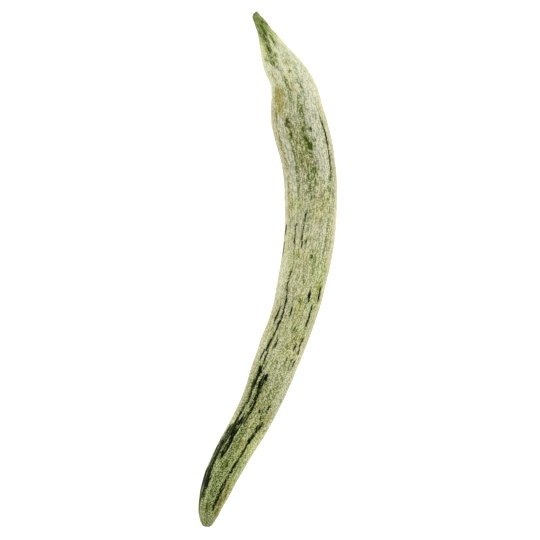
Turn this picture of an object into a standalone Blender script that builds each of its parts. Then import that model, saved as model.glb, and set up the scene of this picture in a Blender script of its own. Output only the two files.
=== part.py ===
"""A snake gourd, picked and laid on its side: one long bent fruit, thin and pointed at the
blossom end and blunt at the stalk end. Metres, +Z up. The fruit lies along Y with its rounded
flank on z = 0, and the origin is under the middle of its outline."""

import math

import bmesh
import bpy

# Driving dimensions, in millimetres
LENGTH = 450.0  # straight length along Y
GIRTH = 48.4  # greatest thickness, near the blossom end
RIBS = 10  # soft ridges that run the whole length
RIB_HEIGHT = 0.018  # of the local radius
SIDES = 50  # facets around the fruit
STEPS = 4  # rings between two stations
TWIST = math.radians(60)  # turn of the ribs from the blossom end to the stalk end
REST_DEPTH = 0.55  # how far the soft flank is pressed flat where it lies
LUMPS = 0.7  # height of the slow unevenness of the skin
LUMP_SIZE = 34.0

# The line that the fruit grew along, from the blossom tip to the stalk scar. Each station has
# its place across and along as parts of the straight length, its radius as a part of the
# greatest radius, and how far its underside is lifted off the surface, in millimetres.
STATIONS = [
    (-0.0273, 0.4962, 0.130, 16.2),
    (-0.0168, 0.4802, 0.205, 14.2),
    (-0.0023, 0.4522, 0.330, 10.4),
    (0.0197, 0.4062, 0.610, 4.4),
    (0.0447, 0.3632, 0.775, 1.2),
    (0.0587, 0.2902, 0.990, 0.0),
    (0.0792, 0.2042, 0.965, 0.0),
    (0.0832, 0.1132, 0.945, 0.0),
    (0.0737, 0.0182, 0.900, 0.0),
    (0.0507, -0.0818, 0.820, 0.0),
    (0.0132, -0.1858, 0.795, 0.0),
    (-0.0268, -0.2818, 0.695, 0.0),
    (-0.0748, -0.3678, 0.635, 0.0),
    (-0.1038, -0.4318, 0.535, 0.6),
    (-0.1158, -0.4758, 0.350, 2.8),
    (-0.1173, -0.4908, 0.235, 4.8),
    (-0.1163, -0.4988, 0.135, 7.0),
]

MM = 0.001


def clear_scene():
    for old in list(bpy.data.objects):
        bpy.data.objects.remove(old, do_unlink=True)


def new_collection(name):
    made = bpy.data.collections.new(name)
    bpy.context.scene.collection.children.link(made)
    return made


def skin_material():
    skin = bpy.data.materials.new("gourd_skin")
    skin.use_nodes = True
    principled = skin.node_tree.nodes["Principled BSDF"]
    principled.inputs["Base Color"].default_value = (0.42, 0.47, 0.24, 1.0)
    principled.inputs["Roughness"].default_value = 0.55
    principled.inputs["Metallic"].default_value = 0.0
    skin.diffuse_color = (0.42, 0.47, 0.24, 1.0)
    return skin


def rib_section():
    """The fruit's cross-section at a radius of 1 mm: a circle with soft ridges."""
    curve = bpy.data.curves.new("rib_section", "CURVE")
    curve.dimensions = "2D"
    spline = curve.splines.new("POLY")
    spline.points.add(SIDES - 1)
    spline.use_cyclic_u = True
    for side, point in enumerate(spline.points):
        angle = math.tau * side / SIDES
        reach = MM * (1 + RIB_HEIGHT * math.cos(RIBS * angle))
        point.co = (reach * math.cos(angle), reach * math.sin(angle), 0, 1)
    return bpy.data.objects.new("rib_section", curve)


def growth_line(section):
    """The section swept along the stations, with its caps filled."""
    curve = bpy.data.curves.new("growth_line", "CURVE")
    curve.dimensions = "3D"
    curve.resolution_u = curve.render_resolution_u = STEPS
    curve.bevel_mode = "OBJECT"
    curve.bevel_object = section
    curve.use_fill_caps = True
    spline = curve.splines.new("BEZIER")
    spline.radius_interpolation = "CARDINAL"
    spline.tilt_interpolation = "EASE"
    spline.bezier_points.add(len(STATIONS) - 1)
    top = STATIONS[0][1]
    span = top - STATIONS[-1][1]
    for point, (across, along, girth, lift) in zip(spline.bezier_points, STATIONS):
        radius = girth * GIRTH / 2
        height = radius + lift - REST_DEPTH
        point.co = (across * LENGTH * MM, along * LENGTH * MM, height * MM)
        point.radius = radius
        point.tilt = TWIST * (top - along) / span
        point.handle_left_type = point.handle_right_type = "AUTO"
    return bpy.data.objects.new("growth_line", curve)


def as_closed_mesh(swept, name):
    """The swept curve as a mesh whose caps are joined to its side."""
    bpy.context.view_layer.update()
    evaluated = swept.evaluated_get(bpy.context.evaluated_depsgraph_get())
    mesh = bpy.data.meshes.new_from_object(evaluated)
    solid = bmesh.new()
    solid.from_mesh(mesh)
    bmesh.ops.remove_doubles(solid, verts=solid.verts, dist=0.00001)
    bmesh.ops.recalc_face_normals(solid, faces=solid.faces)
    solid.to_mesh(mesh)
    solid.free()
    mesh.name = name
    closed = bpy.data.objects.new(name, mesh)
    closed.matrix_world = swept.matrix_world.copy()
    return closed


def add_lumps(fruit):
    noise = bpy.data.textures.new("skin_lumps", "CLOUDS")
    noise.noise_scale = LUMP_SIZE * MM
    noise.noise_depth = 1
    lumps = fruit.modifiers.new("skin_lumps", "DISPLACE")
    lumps.texture = noise
    lumps.texture_coords = "LOCAL"
    lumps.mid_level = 0.5
    lumps.strength = 2 * LUMPS * MM


def surface_below(cutters):
    """The space under z = 0, which the resting flank is cut flat against."""
    depth = GIRTH * MM
    bpy.ops.mesh.primitive_cube_add(size=1, location=(0, 0, -depth / 2))
    block = bpy.context.object
    block.name = "surface_below"
    block.scale = (LENGTH * MM, 1.2 * LENGTH * MM, depth)
    bpy.ops.object.transform_apply(location=False, rotation=False, scale=True)
    for owner in list(block.users_collection):
        owner.objects.unlink(block)
    cutters.objects.link(block)
    block.hide_render = True
    block.display_type = "WIRE"
    return block


def cut_flat(fruit, block):
    rest = fruit.modifiers.new("rest_flat", "BOOLEAN")
    rest.operation = "DIFFERENCE"
    rest.solver = "EXACT"
    rest.object = block


def build_gourd(parts, cutters):
    section = rib_section()
    swept = growth_line(section)
    parts.objects.link(section)
    parts.objects.link(swept)
    fruit = as_closed_mesh(swept, "gourd")
    for guide in (swept, section):
        bpy.data.objects.remove(guide, do_unlink=True)
    parts.objects.link(fruit)
    fruit.data.materials.clear()
    fruit.data.materials.append(skin_material())
    add_lumps(fruit)
    cut_flat(fruit, surface_below(cutters))
    fruit.data.shade_smooth()
    return fruit


clear_scene()
build_gourd(new_collection("snake_gourd"), new_collection("cutters"))
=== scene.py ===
import math

import bmesh
import bpy
import numpy as np
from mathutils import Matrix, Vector


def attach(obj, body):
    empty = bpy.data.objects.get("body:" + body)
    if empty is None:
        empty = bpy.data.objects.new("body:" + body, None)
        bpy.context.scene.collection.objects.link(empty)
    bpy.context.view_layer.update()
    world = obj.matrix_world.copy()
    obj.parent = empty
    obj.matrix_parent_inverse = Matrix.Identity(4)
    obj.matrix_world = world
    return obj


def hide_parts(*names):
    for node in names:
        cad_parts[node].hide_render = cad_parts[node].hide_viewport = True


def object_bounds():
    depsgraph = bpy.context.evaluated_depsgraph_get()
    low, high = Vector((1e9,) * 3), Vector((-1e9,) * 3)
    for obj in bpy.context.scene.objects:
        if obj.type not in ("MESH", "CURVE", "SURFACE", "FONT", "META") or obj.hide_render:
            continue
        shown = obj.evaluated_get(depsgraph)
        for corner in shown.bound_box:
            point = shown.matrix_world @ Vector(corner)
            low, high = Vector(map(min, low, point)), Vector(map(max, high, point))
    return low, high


# A snake gourd lying on its flank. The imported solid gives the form; this file gives it its skin.

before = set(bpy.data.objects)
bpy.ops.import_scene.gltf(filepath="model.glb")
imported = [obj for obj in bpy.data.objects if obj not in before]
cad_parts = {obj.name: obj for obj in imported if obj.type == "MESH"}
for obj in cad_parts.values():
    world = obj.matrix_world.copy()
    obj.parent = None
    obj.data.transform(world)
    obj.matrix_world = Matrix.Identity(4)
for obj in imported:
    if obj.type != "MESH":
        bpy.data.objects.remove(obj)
cadLow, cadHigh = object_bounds()
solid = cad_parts["gourd"]
mm = 0.001


def hexColour(code, alpha=1.0):
    # sRGB hex to the linear values that the shader works in
    linear = []
    for start in (1, 3, 5):
        value = int(code[start:start + 2], 16) / 255
        linear.append(value / 12.92 if value <= 0.04045 else ((value + 0.055) / 1.055) ** 2.4)
    return (*linear, alpha)


def addNode(tree, kind, settings=None, inputs=None):
    node = tree.nodes.new(kind)
    for name, value in (settings or {}).items():
        setattr(node, name, value)
    for name, value in (inputs or {}).items():
        if isinstance(value, bpy.types.NodeSocket):
            tree.links.new(value, node.inputs[name])
        else:
            node.inputs[name].default_value = value
    return node


growth = {  # the line the fruit grew along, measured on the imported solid
    "slices": 22,
    "endClearance": 7 * mm,  # no slice nearer than this to either end, where it would cut the cap
    "capDepth": 0.6 * mm,
}


def sliceMiddle(corners, y):
    # the middle of the box round the solid's outline in the plane at y
    found = []
    for a, b in ((0, 1), (1, 2), (2, 0)):
        start, end = corners[:, a], corners[:, b]
        crosses = (start[:, 1] - y) * (end[:, 1] - y) < 0
        start, end = start[crosses], end[crosses]
        share = (y - start[:, 1]) / (end[:, 1] - start[:, 1])
        found.append(start + (end - start) * share[:, None])
    found = np.vstack(found)
    return (found.min(0) + found.max(0)) / 2


def measureGrowthLine():
    mesh = solid.data
    mesh.calc_loop_triangles()
    points = np.array([vertex.co for vertex in mesh.vertices])
    corners = points[[list(triangle.vertices) for triangle in mesh.loop_triangles]]
    top, bottom = points[:, 1].max(), points[:, 1].min()
    tip = points[points[:, 1] > top - growth["capDepth"]].mean(0)
    stalk = points[points[:, 1] < bottom + growth["capDepth"]].mean(0)
    first, last = top - growth["endClearance"], bottom + growth["endClearance"]
    middles = [sliceMiddle(corners, y) for y in np.linspace(first, last, growth["slices"])]
    return [tip, *middles, stalk]


def growthLine(route):
    curve = bpy.data.curves.new("growthLine", "CURVE")
    curve.dimensions = "3D"
    curve.resolution_u = 16
    spline = curve.splines.new("BEZIER")
    spline.bezier_points.add(len(route) - 1)
    for point, place in zip(spline.bezier_points, route):
        point.co = place
        point.handle_left_type = point.handle_right_type = "AUTO"
    made = bpy.data.objects.new("growthLine", curve)
    bpy.context.scene.collection.objects.link(made)
    return made


skin = {  # rings along the growth line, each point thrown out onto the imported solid
    "rings": 560,
    "sides": 160,
    "crowding": 0.5,  # how much closer the rings stand at the two ends
    "tipReach": 2.6 * mm,  # how far in from each end the rings start to fan round it
    "stalkReach": 7.5 * mm,
    "evening": 14,  # rounds of smoothing that take the solid's facets out
    "twist": math.radians(-60),  # turn of the ridges from tip to stalk
    "ribs": 10,
    "ribHeight": 0.22 * mm,
    "swellSize": 34 * mm,
    "swellHeight": 2.0 * mm,
    "ridgeWidth": 3.2 * mm,
    "ridgeLength": 75 * mm,
    "ridgeHeight": 0.34 * mm,
    "pebbleSize": 2.6 * mm,
    "pebbleHeight": 0.09 * mm,
    "seed": 4.0,
}
standardRadius = 20 * mm  # the radius at which the straightened coordinates are true to scale
poleSlack = 0.01 * mm  # much less than the gap between two rings


def skinTree():
    tree = bpy.data.node_groups.new("gourdSkin", "GeometryNodeTree")
    face = tree.interface
    face.new_socket("Geometry", in_out="INPUT", socket_type="NodeSocketGeometry")
    face.new_socket("Solid", in_out="INPUT", socket_type="NodeSocketObject")
    face.new_socket("Skin", in_out="INPUT", socket_type="NodeSocketMaterial")
    for name, value in skin.items():
        kind = "NodeSocketInt" if isinstance(value, int) else "NodeSocketFloat"
        face.new_socket(name, in_out="INPUT", socket_type=kind)
    face.new_socket("Geometry", in_out="OUTPUT", socket_type="NodeSocketGeometry")
    given = tree.nodes.new("NodeGroupInput").outputs

    # a tube of rings: its height is the way along, its bearing the way round, 0 on top
    tube = addNode(tree, "GeometryNodeMeshCylinder", {"fill_type": "NONE"}, {
        "Vertices": given["sides"], "Side Segments": given["rings"], "Radius": 1.0, "Depth": 1.0})
    place = addNode(tree, "ShaderNodeSeparateXYZ", None, {
        0: addNode(tree, "GeometryNodeInputPosition").outputs[0]})
    share = addNode(tree, "ShaderNodeMath", {"operation": "ADD"}, {0: place.outputs["Z"], 1: 0.5})
    phase = addNode(tree, "ShaderNodeMath", {"operation": "MULTIPLY"}, {0: share.outputs[0], 1: math.tau})
    wave = addNode(tree, "ShaderNodeMath", {"operation": "SINE"}, {0: phase.outputs[0]})
    lag = addNode(tree, "ShaderNodeMath", {"operation": "MULTIPLY"}, {
        0: wave.outputs[0], 1: given["crowding"]})
    lagShare = addNode(tree, "ShaderNodeMath", {"operation": "DIVIDE"}, {0: lag.outputs[0], 1: math.tau})
    crowded = addNode(tree, "ShaderNodeMath", {"operation": "SUBTRACT"}, {
        0: share.outputs[0], 1: lagShare.outputs[0]})
    length = addNode(tree, "GeometryNodeCurveLength", None, {"Curve": given["Geometry"]})
    alongNow = addNode(tree, "ShaderNodeMath", {"operation": "MULTIPLY"}, {
        0: crowded.outputs[0], 1: length.outputs[0]})
    turnNow = addNode(tree, "ShaderNodeMath", {"operation": "ARCTAN2"}, {
        0: place.outputs["Y"], 1: place.outputs["X"]})
    held = addNode(tree, "GeometryNodeCaptureAttribute", None, {"Geometry": tube.outputs["Mesh"]})
    held.capture_items.new("FLOAT", "along")
    held.capture_items.new("FLOAT", "turn")
    tree.links.new(alongNow.outputs[0], held.inputs["along"])
    tree.links.new(turnNow.outputs[0], held.inputs["turn"])
    along, turn = held.outputs["along"], held.outputs["turn"]

    # the centre that a ring looks out from stays inside, and at the ends its rays fan round
    farEnd = addNode(tree, "ShaderNodeMath", {"operation": "SUBTRACT"}, {
        0: length.outputs[0], 1: given["stalkReach"]})
    centreAt = addNode(tree, "ShaderNodeClamp", None, {
        "Value": along, "Min": given["tipReach"], "Max": farEnd.outputs[0]})
    sample = addNode(tree, "GeometryNodeSampleCurve", {"mode": "LENGTH"}, {
        "Curves": given["Geometry"], "Length": centreAt.outputs[0]})
    beforeTip = addNode(tree, "ShaderNodeMapRange", None, {
        "Value": along, "From Min": given["tipReach"], "From Max": 0.0,
        "To Min": 0.0, "To Max": math.pi / 2})
    beyondEnd = addNode(tree, "ShaderNodeMapRange", None, {
        "Value": along, "From Min": farEnd.outputs[0], "From Max": length.outputs[0],
        "To Min": 0.0, "To Max": math.pi / 2})
    lean = addNode(tree, "ShaderNodeMath", {"operation": "SUBTRACT"}, {
        0: beyondEnd.outputs[0], 1: beforeTip.outputs[0]})
    side = addNode(tree, "ShaderNodeVectorMath", {"operation": "CROSS_PRODUCT"}, {
        0: (0, 0, 1), 1: sample.outputs["Tangent"]})
    sideUnit = addNode(tree, "ShaderNodeVectorMath", {"operation": "NORMALIZE"}, {0: side.outputs[0]})
    upward = addNode(tree, "ShaderNodeVectorMath", {"operation": "CROSS_PRODUCT"}, {
        0: sample.outputs["Tangent"], 1: sideUnit.outputs[0]})
    cosTurn = addNode(tree, "ShaderNodeMath", {"operation": "COSINE"}, {0: turn})
    sinTurn = addNode(tree, "ShaderNodeMath", {"operation": "SINE"}, {0: turn})
    upPart = addNode(tree, "ShaderNodeVectorMath", {"operation": "SCALE"}, {
        0: upward.outputs[0], "Scale": cosTurn.outputs[0]})
    outward = addNode(tree, "ShaderNodeVectorMath", {"operation": "MULTIPLY_ADD"}, {
        0: sideUnit.outputs[0], 1: sinTurn.outputs[0], 2: upPart.outputs[0]})
    cosLean = addNode(tree, "ShaderNodeMath", {"operation": "COSINE"}, {0: lean.outputs[0]})
    sinLean = addNode(tree, "ShaderNodeMath", {"operation": "SINE"}, {0: lean.outputs[0]})
    outPart = addNode(tree, "ShaderNodeVectorMath", {"operation": "SCALE"}, {
        0: outward.outputs[0], "Scale": cosLean.outputs[0]})
    ray = addNode(tree, "ShaderNodeVectorMath", {"operation": "MULTIPLY_ADD"}, {
        0: sample.outputs["Tangent"], 1: sinLean.outputs[0], 2: outPart.outputs[0]})
    target = addNode(tree, "GeometryNodeObjectInfo", {"transform_space": "RELATIVE"}, {
        "Object": given["Solid"]})
    hit = addNode(tree, "GeometryNodeRaycast", None, {
        "Target Geometry": target.outputs["Geometry"], "Source Position": sample.outputs["Position"],
        "Ray Direction": ray.outputs[0], "Ray Length": 1.0})
    reached = addNode(tree, "GeometryNodeCaptureAttribute", None, {"Geometry": held.outputs["Geometry"]})
    for name, kind in (("centre", "VECTOR"), ("ray", "VECTOR"), ("radius", "FLOAT")):
        reached.capture_items.new(kind, name)
    tree.links.new(sample.outputs["Position"], reached.inputs["centre"])
    tree.links.new(ray.outputs[0], reached.inputs["ray"])
    tree.links.new(hit.outputs["Hit Distance"], reached.inputs["radius"])
    even = addNode(tree, "GeometryNodeBlurAttribute", {"data_type": "FLOAT"}, {
        0: reached.outputs["radius"], "Iterations": given["evening"]})

    # straightened coordinates, in which the ridges run parallel and nothing meets in a seam
    twistNow = addNode(tree, "ShaderNodeMath", {"operation": "MULTIPLY"}, {0: along, 1: given["twist"]})
    twistShare = addNode(tree, "ShaderNodeMath", {"operation": "DIVIDE"}, {
        0: twistNow.outputs[0], 1: length.outputs[0]})
    ridgeTurn = addNode(tree, "ShaderNodeMath", {"operation": "SUBTRACT"}, {
        0: turn, 1: twistShare.outputs[0]})
    cosRidge = addNode(tree, "ShaderNodeMath", {"operation": "COSINE"}, {0: ridgeTurn.outputs[0]})
    sinRidge = addNode(tree, "ShaderNodeMath", {"operation": "SINE"}, {0: ridgeTurn.outputs[0]})
    ringPlace = addNode(tree, "ShaderNodeCombineXYZ", None, {
        "X": cosRidge.outputs[0], "Y": sinRidge.outputs[0]})
    ringScaled = addNode(tree, "ShaderNodeVectorMath", {"operation": "SCALE"}, {
        0: ringPlace.outputs[0], "Scale": standardRadius})
    lengthPlace = addNode(tree, "ShaderNodeCombineXYZ", None, {"Z": along})
    straight = addNode(tree, "ShaderNodeVectorMath", {"operation": "ADD"}, {
        0: ringScaled.outputs[0], 1: lengthPlace.outputs[0]})

    # relief: soft ribs, slow swellings, fine ridges along the fruit and a pebbled grain
    ribAngle = addNode(tree, "ShaderNodeMath", {"operation": "MULTIPLY"}, {
        0: ridgeTurn.outputs[0], 1: given["ribs"]})
    ribWave = addNode(tree, "ShaderNodeMath", {"operation": "COSINE"}, {0: ribAngle.outputs[0]})
    relief = addNode(tree, "ShaderNodeMath", {"operation": "MULTIPLY"}, {
        0: ribWave.outputs[0], 1: given["ribHeight"]})
    for size, stretch, height in (
        ("swellSize", None, "swellHeight"),
        ("ridgeWidth", "ridgeLength", "ridgeHeight"),
        ("pebbleSize", None, "pebbleHeight"),
    ):
        fine = addNode(tree, "ShaderNodeMath", {"operation": "DIVIDE"}, {0: 1.0, 1: given[size]})
        slow = addNode(tree, "ShaderNodeMath", {"operation": "DIVIDE"}, {0: 1.0, 1: given[stretch or size]})
        scale = addNode(tree, "ShaderNodeCombineXYZ", None, {
            "X": fine.outputs[0], "Y": fine.outputs[0], "Z": slow.outputs[0]})
        stretched = addNode(tree, "ShaderNodeVectorMath", {"operation": "MULTIPLY"}, {
            0: straight.outputs[0], 1: scale.outputs[0]})
        noise = addNode(tree, "ShaderNodeTexNoise", {"noise_dimensions": "4D"}, {
            "Vector": stretched.outputs[0], "W": given["seed"], "Scale": 1.0, "Detail": 2.0})
        centred = addNode(tree, "ShaderNodeMath", {"operation": "SUBTRACT"}, {
            0: noise.outputs[0], 1: 0.5})
        relief = addNode(tree, "ShaderNodeMath", {"operation": "MULTIPLY_ADD"}, {
            0: centred.outputs[0], 1: given[height], 2: relief.outputs[0]})
    # the relief dies away where the ends are too thin to carry it
    body = addNode(tree, "ShaderNodeMapRange", {"interpolation_type": "SMOOTHSTEP"}, {
        "Value": even.outputs[0], "From Min": 1.5 * mm, "From Max": 14 * mm})
    reliefHere = addNode(tree, "ShaderNodeMath", {"operation": "MULTIPLY"}, {
        0: relief.outputs[0], 1: body.outputs[0]})
    raised = addNode(tree, "ShaderNodeMath", {"operation": "ADD"}, {
        0: even.outputs[0], 1: reliefHere.outputs[0]})
    point = addNode(tree, "ShaderNodeVectorMath", {"operation": "MULTIPLY_ADD"}, {
        0: reached.outputs["ray"], 1: raised.outputs[0], 2: reached.outputs["centre"]})
    # what would sink below the table is pressed flat on it
    level = addNode(tree, "ShaderNodeVectorMath", {"operation": "MAXIMUM"}, {
        0: point.outputs[0], 1: (-10, -10, 0)})
    placed = addNode(tree, "GeometryNodeSetPosition", None, {
        "Geometry": reached.outputs["Geometry"], "Position": level.outputs[0]})
    geometry = placed.outputs[0]
    for name, kind, value in (
        ("along", "FLOAT", along),
        ("turn", "FLOAT", turn),
        ("radius", "FLOAT", even.outputs[0]),
        ("straight", "FLOAT_VECTOR", straight.outputs[0]),
    ):
        stored = addNode(tree, "GeometryNodeStoreNamedAttribute", {
            "data_type": kind, "domain": "POINT"}, {"Geometry": geometry, "Name": name, "Value": value})
        geometry = stored.outputs[0]
    smooth = addNode(tree, "GeometryNodeSetShadeSmooth", None, {"Geometry": geometry})
    whole = addNode(tree, "GeometryNodeRealizeInstances", None, {"Geometry": smooth.outputs[0]})
    coated = addNode(tree, "GeometryNodeSetMaterial", None, {
        "Geometry": whole.outputs[0], "Material": given["Skin"]})
    out = tree.nodes.new("NodeGroupOutput")
    tree.links.new(coated.outputs[0], out.inputs[0])
    return tree


def closeSkin(mesh):
    # the first and the last ring each close to a single point, then the faces are turned outwards
    shell = bmesh.new()
    shell.from_mesh(mesh)
    along = shell.verts.layers.float["along"]
    farEnd = max(vertex[along] for vertex in shell.verts)
    for pole in (0, farEnd):
        ring = [vertex for vertex in shell.verts if abs(vertex[along] - pole) < poleSlack]
        middle = np.mean([vertex.co for vertex in ring], axis=0)
        bmesh.ops.pointmerge(shell, verts=ring, merge_co=middle)
    bmesh.ops.recalc_face_normals(shell, faces=shell.faces)
    shell.to_mesh(mesh)
    shell.free()


def growSkin(line, material):
    tree = skinTree()
    grower = line.modifiers.new("gourdSkin", "NODES")
    grower.node_group = tree
    wanted = {**skin, "Solid": solid, "Skin": material}
    for item in tree.interface.items_tree:
        if item.in_out == "INPUT" and item.name in wanted:
            grower[item.identifier] = wanted[item.name]
    bpy.context.view_layer.update()
    depsgraph = bpy.context.evaluated_depsgraph_get()
    mesh = bpy.data.meshes.new_from_object(line.evaluated_get(depsgraph))
    line.modifiers.remove(grower)
    bpy.data.objects.remove(line)
    mesh.name = "gourdFruit"
    mesh.materials.clear()  # Set Material leaves an empty slot in front of its own
    mesh.materials.append(material)
    closeSkin(mesh)
    fruit = bpy.data.objects.new("gourdFruit", mesh)
    bpy.context.scene.collection.objects.link(fruit)
    return fruit


# Strokes seen from above: width in mm, then points (percent of the way from tip to stalk,
# part of the half width, -1 at the left flank to 1 at the right).
darkStrokes = [
    (1.8, (21.8, 0.77), (25.2, 0.81), (32.6, 0.77)),
    (1.5, (38.4, -0.21), (40.6, -0.26)),
    (1.3, (40.4, -0.26), (43.3, -0.31), (45.1, -0.27)),
    (1.4, (40.7, -0.58), (41.8, -0.59)),
    (1.1, (41.8, -0.59), (44.7, -0.59)),
    (2.3, (41.1, -0.95), (43.3, -0.96)),
    (2.3, (44.6, -0.96), (47.2, -0.96)),
    (1.4, (49.6, -0.54), (52.2, -0.58), (54.2, -0.52)),
    (1.9, (53.9, -0.51), (57.3, -0.49)),
    (2.1, (57.3, -0.46), (59.6, -0.50), (63.2, -0.58)),
    (2.5, (62.6, -0.57), (65.5, -0.64)),
    (1.5, (56.7, -0.66), (58.1, -0.69)),
    (2.2, (58.1, -0.69), (60.4, -0.73)),
    (1.6, (56.3, -0.19), (58.2, -0.17)),
    (1.7, (62.8, -0.32), (64.4, -0.34)),
    (2.2, (52.6, 0.41), (54.7, 0.43)),
    (1.3, (54.9, 0.62), (57.1, 0.64)),
    (2.2, (56.9, 0.65), (58.8, 0.66)),
    (2.4, (51.4, 0.80), (54.2, 0.81)),
    (2.2, (61.0, 0.74), (62.8, 0.70)),
    (1.7, (62.8, 0.74), (64.3, 0.77)),
    (1.7, (65.2, 0.77), (67.2, 0.72)),
    (1.9, (62.3, 0.52), (63.7, 0.51)),
    (1.3, (65.2, 0.60), (67.2, 0.60)),
    (1.7, (65.2, -0.70), (67.5, -0.76)),
    (1.9, (65.1, -0.56), (68.3, -0.56)),
    (2.6, (72.8, -0.66), (75.7, -0.64)),
    (1.7, (72.4, -0.36), (76.3, -0.44)),
    (2.2, (72.6, -0.31), (76.5, -0.30), (77.7, -0.36)),
    (2.6, (75.5, -0.70), (79.2, -0.74), (83.7, -0.84)),
    (1.8, (74.3, 0.47), (76.1, 0.47)),
    (4.2, (77.6, 0.53), (80.0, 0.45)),
    (3.2, (79.8, 0.43), (82.8, 0.41)),
    (2.5, (82.6, 0.42), (86.3, 0.42)),
    (3.0, (86.1, 0.38), (89.0, 0.36)),
    (3.3, (88.8, 0.34), (92.6, 0.27), (96.3, 0.20)),
    (1.3, (75.7, 0.10), (76.3, 0.12)),
    (1.1, (75.5, 0.24), (76.2, 0.26)),
    (1.1, (76.7, 0.32), (77.3, 0.34)),
    (2.6, (94.0, -0.90), (96.4, -0.94), (98.6, -0.96)),
]
darkBands = [
    (4.6, (68.1, -0.55), (70.4, -0.64), (73.2, -0.68)),
    (5.4, (69.5, -0.20), (71.2, -0.30), (73.0, -0.34)),
    (5.0, (77.1, -0.36), (79.8, -0.46)),
    (3.6, (79.4, -0.50), (83.0, -0.54), (87.6, -0.52)),
    (6.4, (79.4, -0.70), (83.6, -0.75), (88.0, -0.76)),
    # partly painted shade: this band along the left edge is a corky band, darkened further where the left
    # flank turns away from the light
    (4.4, (80.6, -0.86), (84.4, -0.91), (89.0, -0.94)),
    (6.4, (85.8, -0.80), (90.0, -0.80), (94.6, -0.76)),
    (6.4, (88.2, -0.90), (91.5, -0.97), (96.0, -0.96)),
]
greenStrokes = [
    (2.4, (23.4, -0.42), (24.6, -0.39)),
    (3.6, (25.0, 0.04), (26.0, 0.10)),
    (5.6, (26.0, 0.12), (27.4, 0.20)),
    (2.0, (23.2, 0.06), (25.2, 0.03)),
    (2.4, (23.6, 0.34), (24.2, 0.30)),
    (2.6, (30.6, 0.14), (31.4, 0.18)),
    (2.6, (43.7, -0.16), (44.5, -0.16)),
    (2.8, (46.3, 0.18), (47.0, 0.24)),
    (2.0, (45.1, 0.18), (45.7, 0.18)),
    (2.2, (28.8, -0.28), (29.4, -0.28)),
    (1.8, (25.7, 0.36), (26.3, 0.36)),
    (2.4, (54.5, 0.06), (55.1, 0.08)),
    (1.8, (59.6, 0.22), (60.8, 0.22)),
    (2.6, (1.9, 0.25), (2.6, 0.32)),
    (2.0, (2.7, 0.72), (3.3, 0.82)),
    (2.4, (2.4, -0.10), (5.0, -0.18)),
    (1.8, (5.0, 0.22), (7.4, 0.10)),
    (2.4, (9.6, -0.50), (11.2, -0.44)),
    (2.4, (3.5, -0.02), (4.3, 0.04)),
    (2.6, (4.3, -0.46), (5.7, -0.38)),
    (2.0, (6.7, -0.48), (8.2, -0.44)),
    (2.2, (8.4, -0.80), (9.2, -0.72)),
    (1.8, (8.6, -0.22), (9.4, -0.18)),
    (3.0, (86.7, -0.10), (87.9, 0.00)),
]
brownStrokes = [
    (5.4, (21.4, -0.48), (22.8, -0.44)),
    (2.6, (90.6, 0.62), (92.4, 0.66)),
    (2.6, (92.4, 0.72), (94.2, 0.78)),
    (2.8, (93.4, 0.52), (95.4, 0.58)),
    (3.0, (95.6, 0.60), (97.2, 0.60)),
    (3.2, (95.0, -0.36), (97.0, -0.30)),
    (1.8, (63.2, 0.18), (63.8, 0.20)),
    (1.8, (66.4, -0.02), (67.0, 0.00)),
    (1.6, (61.4, 0.36), (61.9, 0.38)),
    (2.0, (65.4, 0.34), (66.4, 0.36)),
    (1.8, (12.6, 0.12), (13.2, 0.16)),
]
oliveStrokes = [
    (2.4, (22.7, -0.86), (30.6, -0.88), (39.9, -0.84)),
    (2.6, (23.7, -0.42), (30.1, -0.50), (36.0, -0.52)),
    (3.2, (12.9, -0.30), (15.3, -0.26), (20.0, -0.24)),
    (3.0, (14.5, 0.20), (16.7, 0.32)),
    (3.6, (17.1, 0.06), (23.1, 0.14)),
    (2.2, (28.6, 0.00), (32.6, -0.08), (36.3, -0.04)),
    (3.2, (31.2, 0.76), (36.5, 0.66)),
    (2.4, (36.5, 0.70), (48.0, 0.60)),
    (1.8, (38.2, -0.08), (42.8, -0.14)),
    (2.2, (44.3, -0.56), (50.2, -0.48)),
    (1.6, (52.6, -0.20), (56.1, -0.18)),
    (2.0, (48.7, -0.02), (52.2, 0.08)),
    (6.0, (2.2, -0.55), (6.6, -0.45), (10.5, -0.55)),
    (7.0, (78.6, -0.20), (86.5, -0.10), (95.3, -0.25)),
    (4.0, (94.1, -0.34), (97.1, -0.28)),
    (1.8, (83.6, 0.66), (89.4, 0.60)),
]
ochreStrokes = [
    (11.0, (14.8, -0.74), (17.2, -0.70), (20.4, -0.64)),
    (3.0, (11.8, -0.76), (13.4, -0.70)),
    (3.0, (15.8, -0.16), (17.0, -0.12)),
    (3.0, (10.8, 0.18), (11.6, 0.28)),
    (2.0, (19.4, -0.90), (24.0, -0.92)),
    (1.6, (24.0, -0.88), (40.0, -0.86)),
    (3.4, (61.0, 0.44), (62.6, 0.52)),
    (2.6, (63.2, 0.62), (67.0, 0.66)),
    (7.4, (89.6, 0.62), (97.0, 0.70)),
    (2.4, (82.5, 0.04), (83.5, 0.12)),
    (2.4, (75.6, 0.68), (77.6, 0.72)),
    (2.0, (56.0, -0.82), (59.0, -0.84)),
]
paleStrokes = [
    (10.0, (6.6, 0.50), (11.0, 0.62), (14.9, 0.74)),
    (6.0, (10.4, -0.52), (12.4, -0.36)),
    (16.0, (14.9, 0.55), (32.6, 0.52)),
    (8.0, (20.8, -0.66), (35.5, -0.66)),
    (5.0, (40.4, 0.50), (46.3, 0.66)),
    (6.0, (47.3, -0.82), (59.0, -0.84)),
    (5.0, (64.9, 0.70), (78.0, 0.88)),
    (2.0, (77.9, -0.66), (79.8, -0.68)),
]
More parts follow.
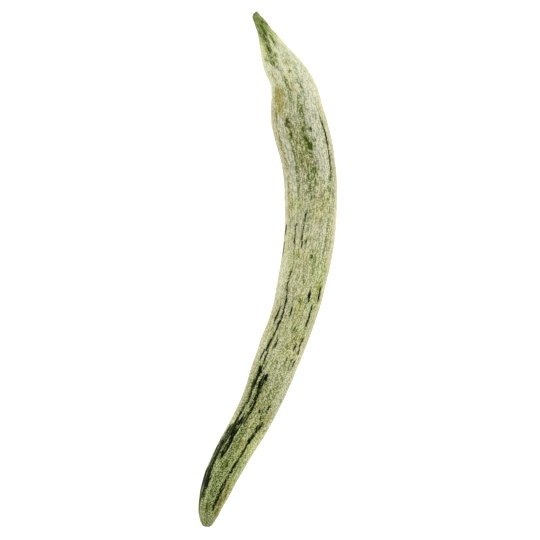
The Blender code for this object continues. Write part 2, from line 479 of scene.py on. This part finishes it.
hiddenSide = {  # the side that lies down gets strokes of its own
    "from": math.radians(97),
    "to": math.radians(263),
    "wander": 0.05,
    "last": 96,  # percent of the length
    "seed": 11,
    # lines side by side, where the first stroke starts, its run and the gap after it (percent), width in mm
    "darkStreak": (20, (16, 45), (1.5, 8.0), (1.5, 15), (1.1, 3.2)),
    "darkBand": (3, (62, 80), (4.0, 8.0), (6.0, 14), (3.4, 5.4)),
    "greenBlotch": (9, (4, 30), (0.6, 2.0), (9.0, 34), (2.0, 4.6)),
    "brownBlotch": (6, (20, 70), (0.5, 1.2), (16, 50), (1.6, 3.0)),
    "oliveLine": (14, (4, 20), (8.0, 18), (3.0, 10), (1.5, 2.4)),
    "ochrePatch": (5, (10, 40), (1.5, 4.0), (20, 50), (3.0, 6.0)),
    "palePatch": (5, (8, 24), (8.0, 16), (6.0, 24), (6.0, 12)),
}


def seenFromAbove(strokes):
    return [(width, [(along, math.asin(across)) for along, across in points])
            for width, *points in strokes]


def strokesOutOfSight(name, draw):
    # broken strokes on the ridges, longer, thicker and closer together towards the stalk
    lines, starts, runs, gaps, widths = hiddenSide[name]
    first, last = hiddenSide["from"], hiddenSide["to"]
    span = last - first - skin["twist"]  # ridges drift into the hidden side as they turn
    strokes = []
    for line in range(lines):
        bearing = first + span * (line + draw.uniform(0.2, 0.8)) / lines
        along = draw.uniform(*starts)
        while along < hiddenSide["last"]:
            ripeness = along / 100
            run = min(draw.uniform(*runs) * (0.4 + ripeness), hiddenSide["last"] + 2 - along)
            width = draw.uniform(*widths) * (0.7 + 0.5 * ripeness)
            points = []
            for step in (0, 0.5, 1):
                here = along + run * step
                turn = bearing + skin["twist"] * here / 100
                points.append((here, turn + draw.uniform(-1, 1) * hiddenSide["wander"]))
            if all(first < turn < last for _, turn in points):
                strokes.append((width, points))
            along += run + draw.uniform(*gaps) * (1.25 - ripeness)
    return strokes


def depthInside(strokes, along, turn, radius, length):
    # how deep each point lies inside the nearest stroke, in metres, and below zero outside
    deepest = np.full(len(along), -9 * mm)
    for width, points in strokes:
        legs = list(zip(points, points[1:]))
        for number, ((fromAlong, fromTurn), (toAlong, toTurn)) in enumerate(legs):
            start, end = fromAlong * length / 100, toAlong * length / 100
            offset = (turn - fromTurn + math.pi) % math.tau - math.pi
            across = offset * radius
            reach = (toTurn - fromTurn) * radius
            run = end - start
            share = np.clip(((along - start) * run + across * reach) / (run ** 2 + reach ** 2), 0, 1)
            gap = np.hypot(along - start - share * run, across - share * reach)
            whole = (number + share) / len(legs)
            taper = 0.35 + 0.65 * np.maximum(4 * whole * (1 - whole), 0) ** 0.5
            deepest = np.maximum(deepest, width * mm / 2 * taper - gap)
    return deepest


def readValues(mesh, name):
    values = np.empty(len(mesh.vertices), np.float32)
    mesh.attributes[name].data.foreach_get("value", values)
    return values


def markSkin(mesh):
    along, turn, radius = (readValues(mesh, name) for name in ("along", "turn", "radius"))
    length = float(along.max())
    draw = np.random.default_rng(hiddenSide["seed"])
    for name, seen in (
        ("darkStreak", darkStrokes),
        ("darkBand", darkBands),
        ("greenBlotch", greenStrokes),
        ("brownBlotch", brownStrokes),
        ("oliveLine", oliveStrokes),
        ("ochrePatch", ochreStrokes),
        ("palePatch", paleStrokes),
    ):
        strokes = seenFromAbove(seen) + strokesOutOfSight(name, draw)
        depth = depthInside(strokes, along, turn, radius, length)
        mesh.attributes.new(name, "FLOAT", "POINT").data.foreach_set("value", depth.astype(np.float32))
    return length


relief = {  # what the marks and the two ends do to the surface
    "grooveDepth": 0.16 * mm,
    "grooveEdge": 0.7 * mm,
    "stalkHole": 0.9 * mm,
    "stalkHoleSpread": 1.5 * mm,
    "stalkRim": 0.35 * mm,
    "stalkRimAt": 3.0 * mm,
    "tipPoint": 0.5 * mm,
    "tipPointSpread": 1.2 * mm,
}


def carveSkin(mesh):
    # streaks sink a little, the broken stalk leaves a hole with a rim, the blossom a small point
    count = len(mesh.vertices)
    points, normals = np.empty(count * 3, np.float32), np.empty(count * 3, np.float32)
    mesh.vertices.foreach_get("co", points)
    mesh.vertices.foreach_get("normal", normals)
    points, normals = points.reshape(-1, 3), normals.reshape(-1, 3)
    along = readValues(mesh, "along")
    streak = np.maximum(readValues(mesh, "darkStreak"), readValues(mesh, "darkBand"))
    push = -relief["grooveDepth"] * np.clip(streak / relief["grooveEdge"] + 0.3, 0, 1)
    fromStalk = np.linalg.norm(points - points[along.argmax()], axis=1)
    hole = np.exp(-(fromStalk / relief["stalkHoleSpread"]) ** 2)
    rim = np.exp(-((fromStalk - relief["stalkRimAt"]) / relief["stalkHoleSpread"]) ** 2)
    push += relief["stalkRim"] * rim - relief["stalkHole"] * hole
    fromTip = np.linalg.norm(points - points[along.argmin()], axis=1)
    push += relief["tipPoint"] * np.exp(-(fromTip / relief["tipPointSpread"]) ** 2)
    points += normals * push[:, None]
    points[:, 2] = np.maximum(points[:, 2], 0)  # nothing goes below the table
    mesh.vertices.foreach_set("co", points.ravel())
    mesh.update()
    for name, distance in (("fromTip", fromTip), ("fromStalk", fromStalk)):
        mesh.attributes.new(name, "FLOAT", "POINT").data.foreach_set("value", distance)


unrolling = {  # the skin laid out flat in two strips side by side, slit along the underside
    "margin": 0.01,
    "stripWidth": 0.47,
}


def unrollSkin(mesh, length):
    along, turn = readValues(mesh, "along"), readValues(mesh, "turn")
    corners = np.empty(len(mesh.loops), np.int32)
    mesh.loops.foreach_get("vertex_index", corners)
    firsts = np.empty(len(mesh.polygons), np.int32)
    mesh.polygons.foreach_get("loop_start", firsts)
    totals = np.diff(np.append(firsts, len(corners)))
    face = np.repeat(np.arange(len(firsts)), totals)
    cornerTurn, cornerAlong = turn[corners], along[corners]
    pole = (corners == along.argmin()) | (corners == along.argmax())
    highest = np.maximum.reduceat(np.where(pole, -9, cornerTurn), firsts)
    lowest = np.minimum.reduceat(np.where(pole, 9, cornerTurn), firsts)
    crosses = (highest - lowest > math.pi)[face]
    cornerTurn = np.where(crosses & (cornerTurn < 0), cornerTurn + math.tau, cornerTurn)
    rest = np.add.reduceat(np.where(pole, 0, cornerTurn), firsts) / np.maximum(
        np.add.reduceat(np.where(pole, 0, 1), firsts), 1)
    cornerTurn = np.where(pole, rest[face], cornerTurn)
    middle = (np.add.reduceat(cornerAlong, firsts) / totals)[face]
    half = length / 2
    second = middle > half
    step = 1.02  # a strip is this much longer than half the fruit, for the faces on the cut
    sideways = (cornerTurn + math.pi) / (math.tau * (1 + 1 / skin["sides"]))
    upward = np.where(second, cornerAlong - half * (2 - step), cornerAlong) / (half * step)
    layout = np.empty((len(corners), 2), np.float32)
    margin = unrolling["margin"]
    layout[:, 0] = margin + second * 0.5 + sideways * unrolling["stripWidth"]
    layout[:, 1] = margin + upward * (1 - 2 * margin)
    mesh.uv_layers.new(name="OFBake").data.foreach_set("uv", layout.ravel())


rindLook = {
    "toneStops": [  # the ground colour from the blossom tip to the stalk end
        (0.0, "#869338"), (0.03, "#9AAA44"), (0.062, "#FAFFC4"), (0.115, "#FCFEEA"), (0.17, "#E0E1C2"),
        (0.225, "#A5A76C"), (0.28, "#929452"), (0.386, "#C9C8A4"), (0.494, "#C7C990"), (0.603, "#B4B674"),
        (0.65, "#D4D6AA"), (0.711, "#9FA75D"), (0.764, "#A0A85A"), (0.819, "#DEE49E"), (0.872, "#B0C068"),
        (0.927, "#BACC78"), (0.965, "#A2AE60"), (1.0, "#7C7C3A")],
    "rimSheenRise": (math.radians(50), math.radians(74)),  # where the painted rim sheen, laid with a thicker bloom, starts and is full
    "rimSheenFall": (math.radians(82), math.radians(104)),  # and where it thins out again below
    "rimSheenPaling": 0.6,
    "mottleWidth": 10 * mm,
    "mottleLength": 26 * mm,
    "laneWidth": 3.0 * mm,
    "laneLength": 150 * mm,
    "threadWidth": 0.9 * mm,  # threads and grain are drawn coarser than they are, or neither would show
    "threadLength": 5 * mm,
    "grainSize": 1.05 * mm,
    "strandWidth": 1.9 * mm,
    "strandLength": 13 * mm,
    "raggedWidth": 1.1 * mm,
    "raggedLength": 4.5 * mm,
    "dotSpacing": 3.4 * mm,
    "dotEdge": (0.22, 0.12),  # parts of the spacing at which a dot starts and is full
    "dotColour": "#47521F",
    "bloomGrows": (8 * mm, 38 * mm),  # from the blossom tip
    "bloomFades": (0.6, 0.9),  # share of the way to the stalk
    "bloomAtTip": 0.4,
    "bloomAtStalk": 0.52,
    "waxStrength": 0.38,
    "grainTakesOver": (0.4, 0.85),  # share of the way over which grain replaces threads
    "grainShare": (0.52, 0.85),
    "gapDepth": (1.3, 0.66),  # under thin bloom and under full bloom, as are the next two
    "gapColours": ("#46541E", "#98A072"),
    "waxColours": ("#B0C06C", "#E4E2BC"),
    "fleckStrength": 0.75,
    # colour of the painted rim sheen on both flanks
    "rimSheenColour": "#D6CCB8",
    "markTearing": 4.5,  # how strongly the net breaks the edges of marks, and of bands
    "bandTearing": 2.4,
    "roughness": (0.46, 0.64),
    "bumpStrength": 0.7,
    "bumpHeight": 0.4 * mm,
    # attribute, deepest that counts, how far noise moves its edge, where it starts, where it is full,
    # strength, colour
    "patches": [
        ("palePatch", 9 * mm, 3.0 * mm, -2.5 * mm, 3.0 * mm, 0.6, "#DFE0D2"),
        ("ochrePatch", 9 * mm, 2.6 * mm, -4.4 * mm, 4.4 * mm, 0.9, "#A69A42"),
        ("oliveLine", 9 * mm, 0.5 * mm, -0.6 * mm, 0.9 * mm, 0.8, "#66761E"),
    ],
    # the same for the wide bands, which are torn into strands
    "bands": [
        ("darkBand", 1.6 * mm, 1.6 * mm, -1.6 * mm, 1.0 * mm, 0.85, "#384E00"),
        ("darkBand", 0.7 * mm, 1.6 * mm, -0.25 * mm, 0.45 * mm, 0.98, "#0A1000"),
    ],
    # the same for the marks that lie over the flecks
    "marks": [
        ("ochrePatch", 9 * mm, 2.4 * mm, -2.0 * mm, 5.0 * mm, 0.6, "#968A32"),
        ("brownBlotch", 0.8 * mm, 0.9 * mm, -1.2 * mm, 1.2 * mm, 0.9, "#4A4A0A"),
        ("greenBlotch", 1.0 * mm, 1.0 * mm, -2.4 * mm, 1.2 * mm, 0.6, "#748628"),
        ("greenBlotch", 1.3 * mm, 1.1 * mm, -0.6 * mm, 1.3 * mm, 0.95, "#344A00"),
        ("darkStreak", 0.6 * mm, 0.6 * mm, -1.2 * mm, 0.5 * mm, 0.75, "#485C00"),
        ("darkStreak", 0.45 * mm, 0.5 * mm, -0.1 * mm, 0.3 * mm, 0.97, "#0A1000"),
    ],
}


def layMarks(tree, colour, layers, torn):
    # each layer of paint shows where its strokes lie deeper than a torn edge
    for name, deepest, wander, start, full, strength, code in layers:
        depth = addNode(tree, "ShaderNodeAttribute", {"attribute_name": name}).outputs["Fac"]
        capped = addNode(tree, "ShaderNodeMath", {"operation": "MINIMUM"}, {0: depth, 1: deepest})
        edge = addNode(tree, "ShaderNodeMath", {"operation": "MULTIPLY_ADD"}, {
            0: torn.outputs[0], 1: wander, 2: capped.outputs[0]})
        mask = addNode(tree, "ShaderNodeMapRange", {"interpolation_type": "SMOOTHSTEP"}, {
            "Value": edge.outputs[0], "From Min": start, "From Max": full, "To Max": strength})
        colour = addNode(tree, "ShaderNodeMix", {"data_type": "RGBA"}, {
            0: mask.outputs[0], 6: colour, 7: hexColour(code)}).outputs[2]
    return colour


def paintRind(material, length):
    # Waxy rind of a gourd: a dull skin with a thin grey-white bloom, so it is pale and matt, with
    # green showing between the flecks of wax and nearly black corky streaks broken along the ridges.
    material.use_nodes = True
    tree = material.node_tree
    shader = tree.nodes["Principled BSDF"]
    straight = addNode(tree, "ShaderNodeAttribute", {"attribute_name": "straight"}).outputs["Vector"]
    along = addNode(tree, "ShaderNodeAttribute", {"attribute_name": "along"}).outputs["Fac"]

    # ground colour along the fruit
    share = addNode(tree, "ShaderNodeMapRange", None, {"Value": along, "From Max": length})
    tone = addNode(tree, "ShaderNodeValToRGB", None, {"Fac": share.outputs[0]})
    stops = tone.color_ramp.elements
    for number, (spot, code) in enumerate(rindLook["toneStops"]):
        stop = stops[number] if number < 2 else stops.new(spot)
        stop.position = spot
        stop.color = hexColour(code)

    # patterns that run with the ridges: slow mottling, lanes of paler and greener skin, threads and tears
    patterns = {}
    for name, detail in (
        ("mottle", 2.0),
        ("lane", 1.0),
        ("thread", 1.0),
        ("strand", 2.0),
        ("ragged", 2.0),
    ):
        width, reach = rindLook[name + "Width"], rindLook[name + "Length"]
        scaled = addNode(tree, "ShaderNodeMapping", None, {
            "Vector": straight, "Scale": (1 / width, 1 / width, 1 / reach)})
        noise = addNode(tree, "ShaderNodeTexNoise", None, {
            "Vector": scaled.outputs[0], "Scale": 1.0, "Detail": detail, "Distortion": 0.2})
        patterns[name] = addNode(tree, "ShaderNodeSeparateColor", None, {0: noise.outputs["Color"]}).outputs
    grain = addNode(tree, "ShaderNodeTexNoise", None, {
        "Vector": straight, "Scale": 1 / rindLook["grainSize"], "Detail": 1.0})
    riper = addNode(tree, "ShaderNodeMapRange", None, {
        "Value": share.outputs[0],
        "From Min": rindLook["grainTakesOver"][0], "From Max": rindLook["grainTakesOver"][1],
        "To Min": rindLook["grainShare"][0], "To Max": rindLook["grainShare"][1]})
    net = addNode(tree, "ShaderNodeMix", {"data_type": "FLOAT"}, {
        0: riper.outputs[0], 2: patterns["thread"][0], 3: grain.outputs[0]})
    ragged = addNode(tree, "ShaderNodeMapRange", None, {
        "Value": patterns["ragged"][0], "From Min": 0.3, "From Max": 0.7, "To Min": -1.0, "To Max": 1.0})
    creases = []
    for channel in (0, 1):
        offset = addNode(tree, "ShaderNodeMath", {"operation": "SUBTRACT"}, {
            0: patterns["lane"][channel], 1: 0.5})
        creases.append(addNode(tree, "ShaderNodeMath", {"operation": "ABSOLUTE"}, {0: offset.outputs[0]}))
    # wax is thin on the blossom tip and wears away again towards the stalk
    young = addNode(tree, "ShaderNodeMapRange", {"interpolation_type": "SMOOTHSTEP"}, {
        "Value": along,
        "From Min": rindLook["bloomGrows"][0], "From Max": rindLook["bloomGrows"][1],
        "To Min": rindLook["bloomAtTip"], "To Max": 1.0})
    bloom = addNode(tree, "ShaderNodeMapRange", None, {
        "Value": share.outputs[0],
        "From Min": rindLook["bloomFades"][0], "From Max": rindLook["bloomFades"][1],
        "To Min": young.outputs[0], "To Max": rindLook["bloomAtStalk"]})
    waxy = addNode(tree, "ShaderNodeMath", {"operation": "MULTIPLY"}, {
        0: bloom.outputs[0], 1: rindLook["waxStrength"]}).outputs[0]
    colour = tone.outputs[0]
    # pattern, where it starts, where it is full, strength, how it mixes, colour
    for source, start, full, strength, blend, code in (
        (patterns["mottle"][0], 0.50, 0.62, 0.70, "MULTIPLY", "#F6F2A6"),  # yellower
        (patterns["mottle"][1], 0.52, 0.63, 0.60, "MULTIPLY", "#CCE4A2"),  # greener
        (patterns["mottle"][2], 0.54, 0.64, waxy, "MIX", "#D6CEC2"),  # wax with a touch of pink
        (patterns["lane"][2], 0.50, 0.38, 0.55, "MULTIPLY", "#BECA98"),
        (patterns["lane"][2], 0.54, 0.64, waxy, "MIX", "#DCD9B8"),
        (creases[0].outputs[0], 0.034, 0.010, 0.50, "MULTIPLY", "#A8B474"),
        (creases[1].outputs[0], 0.032, 0.010, waxy, "MIX", "#E4DFBE"),
    ):
        mask = addNode(tree, "ShaderNodeMapRange", None, {
            "Value": source, "From Min": start, "From Max": full, "To Max": strength})
        colour = addNode(tree, "ShaderNodeMix", {"data_type": "RGBA", "blend_type": blend}, {
            0: mask.outputs[0], 6: colour, 7: hexColour(code)}).outputs[2]
    colour = layMarks(tree, colour, rindLook["patches"], ragged)

    # flecks of wax and greener gaps between them; with less wax the net is darker
    depth = addNode(tree, "ShaderNodeMapRange", None, {
        "Value": bloom.outputs[0], "From Min": 0.4, "From Max": 1.0,
        "To Min": rindLook["gapDepth"][0], "To Max": rindLook["gapDepth"][1]})
    gap = addNode(tree, "ShaderNodeMapRange", None, {
        "Value": net.outputs[0], "From Min": 0.51, "From Max": 0.42, "To Max": depth.outputs[0]})
    fleck = addNode(tree, "ShaderNodeMapRange", None, {
        "Value": net.outputs[0], "From Min": 0.5, "From Max": 0.58, "To Max": rindLook["fleckStrength"]})
    wax = addNode(tree, "ShaderNodeMix", {"data_type": "RGBA"}, {
        0: bloom.outputs[0],
        6: hexColour(rindLook["waxColours"][0]), 7: hexColour(rindLook["waxColours"][1])})
    gapColour = addNode(tree, "ShaderNodeMix", {"data_type": "RGBA"}, {
        0: bloom.outputs[0],
        6: hexColour(rindLook["gapColours"][0]), 7: hexColour(rindLook["gapColours"][1])})
    greener = addNode(tree, "ShaderNodeMix", {"data_type": "RGBA", "blend_type": "MULTIPLY"}, {
        0: gap.outputs[0], 6: colour, 7: gapColour.outputs[2]})
    flecked = addNode(tree, "ShaderNodeMix", {"data_type": "RGBA"}, {
        0: fleck.outputs[0], 6: greener.outputs[2], 7: wax.outputs[2]})

    # painted rim sheen: both flanks painted paler and slightly pink where the white surround lights the
    # rims, together with a thicker bloom there
    turn = addNode(tree, "ShaderNodeAttribute", {"attribute_name": "turn"}).outputs["Fac"]
    side = addNode(tree, "ShaderNodeMath", {"operation": "ABSOLUTE"}, {0: turn})
    rimSheenStrength = addNode(tree, "ShaderNodeMapRange", None, {
        "Value": net.outputs[0], "From Min": 0.42, "From Max": 0.54,
        "To Min": rindLook["rimSheenPaling"] * 0.4, "To Max": rindLook["rimSheenPaling"]})
    paintedRimSheen = addNode(tree, "ShaderNodeMath", {"operation": "MULTIPLY"}, {
        0: rimSheenStrength.outputs[0], 1: bloom.outputs[0]})
    for (first, last), ends in ((rindLook["rimSheenRise"], (0.0, 1.0)), (rindLook["rimSheenFall"], (1.0, 0.0))):
        ramp = addNode(tree, "ShaderNodeMapRange", {"interpolation_type": "SMOOTHSTEP"}, {
            "Value": side.outputs[0], "From Min": first, "From Max": last,
            "To Min": ends[0], "To Max": ends[1]})
        paintedRimSheen = addNode(tree, "ShaderNodeMath", {"operation": "MULTIPLY"}, {
            0: paintedRimSheen.outputs[0], 1: ramp.outputs[0]})
    # the painted rim sheen is laid over the flanks here
    colour = addNode(tree, "ShaderNodeMix", {"data_type": "RGBA"}, {
        0: paintedRimSheen.outputs[0], 6: flecked.outputs[2], 7: hexColour(rindLook["rimSheenColour"])}).outputs[2]

    # the bands and marks, their edges broken up by the net
    speckle = addNode(tree, "ShaderNodeMath", {"operation": "SUBTRACT"}, {0: 0.5, 1: net.outputs[0]})
    torn = addNode(tree, "ShaderNodeMath", {"operation": "MULTIPLY_ADD"}, {
        0: speckle.outputs[0], 1: rindLook["markTearing"], 2: ragged.outputs[0]})
    strands = addNode(tree, "ShaderNodeMapRange", None, {
        "Value": patterns["strand"][0], "From Min": 0.3, "From Max": 0.7, "To Min": -1.0, "To Max": 1.0})
    frayed = addNode(tree, "ShaderNodeMath", {"operation": "MULTIPLY_ADD"}, {
        0: speckle.outputs[0], 1: rindLook["bandTearing"], 2: strands.outputs[0]})
    colour = layMarks(tree, colour, rindLook["bands"], frayed)
    colour = layMarks(tree, colour, rindLook["marks"], torn)

    # specks in the riper part
    cells = addNode(tree, "ShaderNodeTexVoronoi", None, {
        "Vector": straight, "Scale": 1 / rindLook["dotSpacing"], "Randomness": 1.0})
    speck = addNode(tree, "ShaderNodeMapRange", None, {
        "Value": cells.outputs["Distance"],
        "From Min": rindLook["dotEdge"][0], "From Max": rindLook["dotEdge"][1]})
    ripe = addNode(tree, "ShaderNodeMapRange", None, {
        "Value": share.outputs[0], "From Min": 0.5, "From Max": 0.85, "To Min": 0.1, "To Max": 0.85})
    speckHere = addNode(tree, "ShaderNodeMath", {"operation": "MULTIPLY"}, {
        0: speck.outputs[0], 1: ripe.outputs[0]})
    specked = addNode(tree, "ShaderNodeMix", {"data_type": "RGBA"}, {
        0: speckHere.outputs[0], 6: colour, 7: hexColour(rindLook["dotColour"])})

    # corky scars at both ends
    colour = specked
    for name, reach, code in (("fromStalk", 4.6 * mm, "#3A3A1C"), ("fromTip", 2.6 * mm, "#4A5230")):
        distance = addNode(tree, "ShaderNodeAttribute", {"attribute_name": name}).outputs["Fac"]
        edge = addNode(tree, "ShaderNodeMath", {"operation": "MULTIPLY_ADD"}, {
            0: ragged.outputs[0], 1: -1 * mm, 2: distance})
        scar = addNode(tree, "ShaderNodeMapRange", {"interpolation_type": "SMOOTHSTEP"}, {
            "Value": edge.outputs[0], "From Min": reach, "From Max": reach - 2 * mm,
            "To Max": 0.85})
        colour = addNode(tree, "ShaderNodeMix", {"data_type": "RGBA"}, {
            0: scar.outputs[0], 6: colour.outputs[2], 7: hexColour(code)})
    tree.links.new(colour.outputs[2], shader.inputs["Base Color"])

    # wax flecks are duller than the green between them
    rough = addNode(tree, "ShaderNodeMapRange", None, {
        "Value": net.outputs[0], "From Min": 0.35, "From Max": 0.65,
        "To Min": rindLook["roughness"][0], "To Max": rindLook["roughness"][1]})
    tree.links.new(rough.outputs[0], shader.inputs["Roughness"])
    shader.inputs["IOR"].default_value = 1.4
    shader.inputs["Specular IOR Level"].default_value = 0.04
    shader.inputs["Sheen Weight"].default_value = 0.02
    shader.inputs["Sheen Roughness"].default_value = 0.14
    shader.inputs["Sheen Tint"].default_value = hexColour("#FFF6E4")

    height = addNode(tree, "ShaderNodeMath", {"operation": "MULTIPLY_ADD"}, {
        0: net.outputs[0], 1: 0.8, 2: patterns["lane"][2]})
    bump = addNode(tree, "ShaderNodeBump", None, {
        "Height": height.outputs[0],
        "Strength": rindLook["bumpStrength"], "Distance": rindLook["bumpHeight"]})
    tree.links.new(bump.outputs[0], shader.inputs["Normal"])


rind = bpy.data.materials.new("waxyGourdRind")
fruit = growSkin(growthLine(measureGrowthLine()), rind)
print("skin grown:", len(fruit.data.vertices), "points,", len(fruit.data.polygons), "faces")
fruitLength = markSkin(fruit.data)
carveSkin(fruit.data)
unrollSkin(fruit.data, fruitLength)
paintRind(rind, fruitLength)
print("marks and rind laid on, length along the skin", round(fruitLength / mm), "mm")
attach(fruit, "root")
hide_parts("gourd")


studio = {
    "viewSpan": 469.3 * mm,  # what the square view spans at the fruit's mid height
    "cameraPlace": (1.7 * mm, -0.1 * mm),
    "cameraHeight": 1.9,
    "tableSize": 6.0,
    "tableGlow": 0.7,
    "roomLight": 0.7,
    "tableDrop": 0.2 * mm,  # keeps the table just clear of the fruit's flat underside
    "softboxSize": 1.2,
    "rightPlace": (1.5, 0.2, 0.9),
    "rightPower": 9.0,
    "leftPlace": (-1.5, 0.1, 0.8),
    "leftPower": 5.0,
}


def layTable():
    bpy.ops.mesh.primitive_plane_add(size=studio["tableSize"], location=(0, 0, -studio["tableDrop"]))
    table = bpy.context.object
    table.name = "paleTable"
    # matt white opal sheet of a light table: even and very pale, with next to no shadow
    material = bpy.data.materials.new("whiteOpalSheet")
    material.use_nodes = True
    principled = material.node_tree.nodes["Principled BSDF"]
    principled.inputs["Base Color"].default_value = hexColour("#FAFAFA")
    principled.inputs["Roughness"].default_value = 0.9
    principled.inputs["Emission Color"].default_value = hexColour("#FFFFFF")
    principled.inputs["Emission Strength"].default_value = studio["tableGlow"]
    table.data.materials.append(material)


def softLight(name, place, power):
    light = bpy.data.lights.new(name, "AREA")
    light.shape = "SQUARE"
    light.size = studio["softboxSize"]
    light.energy = power
    made = bpy.data.objects.new(name, light)
    made.location = place
    made.rotation_euler = (-Vector(place)).to_track_quat("-Z", "Y").to_euler()
    bpy.context.scene.collection.objects.link(made)


def lightStudio():
    world = bpy.data.worlds.new("whiteRoom")
    world.use_nodes = True
    world.node_tree.nodes["Background"].inputs["Color"].default_value = (1, 1, 1, 1)
    world.node_tree.nodes["Background"].inputs["Strength"].default_value = studio["roomLight"]
    bpy.context.scene.world = world
    softLight("rightSoftbox", studio["rightPlace"], studio["rightPower"])
    softLight("leftSoftbox", studio["leftPlace"], studio["leftPower"])
    bpy.context.scene.view_settings.view_transform = "Standard"


def setCamera():
    lens = bpy.data.cameras.new("overhead")
    overhead = bpy.data.objects.new("overhead", lens)
    bpy.context.scene.collection.objects.link(overhead)
    middle = (cadLow + cadHigh) / 2
    overhead.location = (*studio["cameraPlace"], studio["cameraHeight"])
    lens.sensor_width = 36
    lens.lens = lens.sensor_width * (studio["cameraHeight"] - middle.z) / studio["viewSpan"]
    bpy.context.scene.camera = overhead


layTable()
lightStudio()
setCamera()
print("table, lights and camera set")
